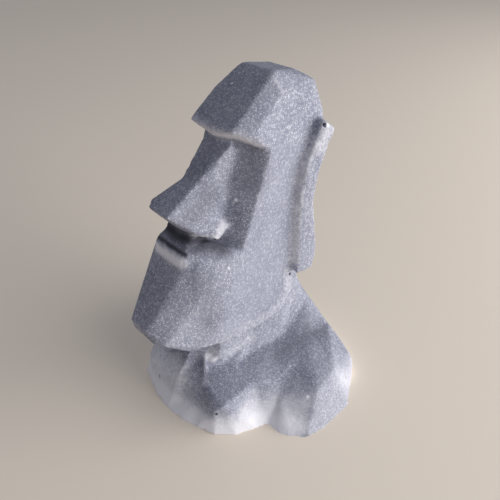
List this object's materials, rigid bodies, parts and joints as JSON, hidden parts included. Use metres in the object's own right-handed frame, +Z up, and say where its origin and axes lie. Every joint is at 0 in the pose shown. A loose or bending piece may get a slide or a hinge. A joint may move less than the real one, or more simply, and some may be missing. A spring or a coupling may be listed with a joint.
{
  "type": "moai head figurine",
  "caption": "Faceted moai head on a spreading base, with a jutting brow, long ears, a broad nose and a pointed chin, cast in one piece in grey stone composite.",
  "frame": {"origin": "on the flat underside, at the middle of the figure's outline seen from above", "axes": "+Z up, the face looks along -Y, and the figure's left side is +X"},
  "size_m": [0.088, 0.0756, 0.11],
  "materials": {
    "cast_stone": "matte"
  },
  "bodies": {
    "root": {"moai_figure": "cast_stone"}
  },
  "joints": []
}
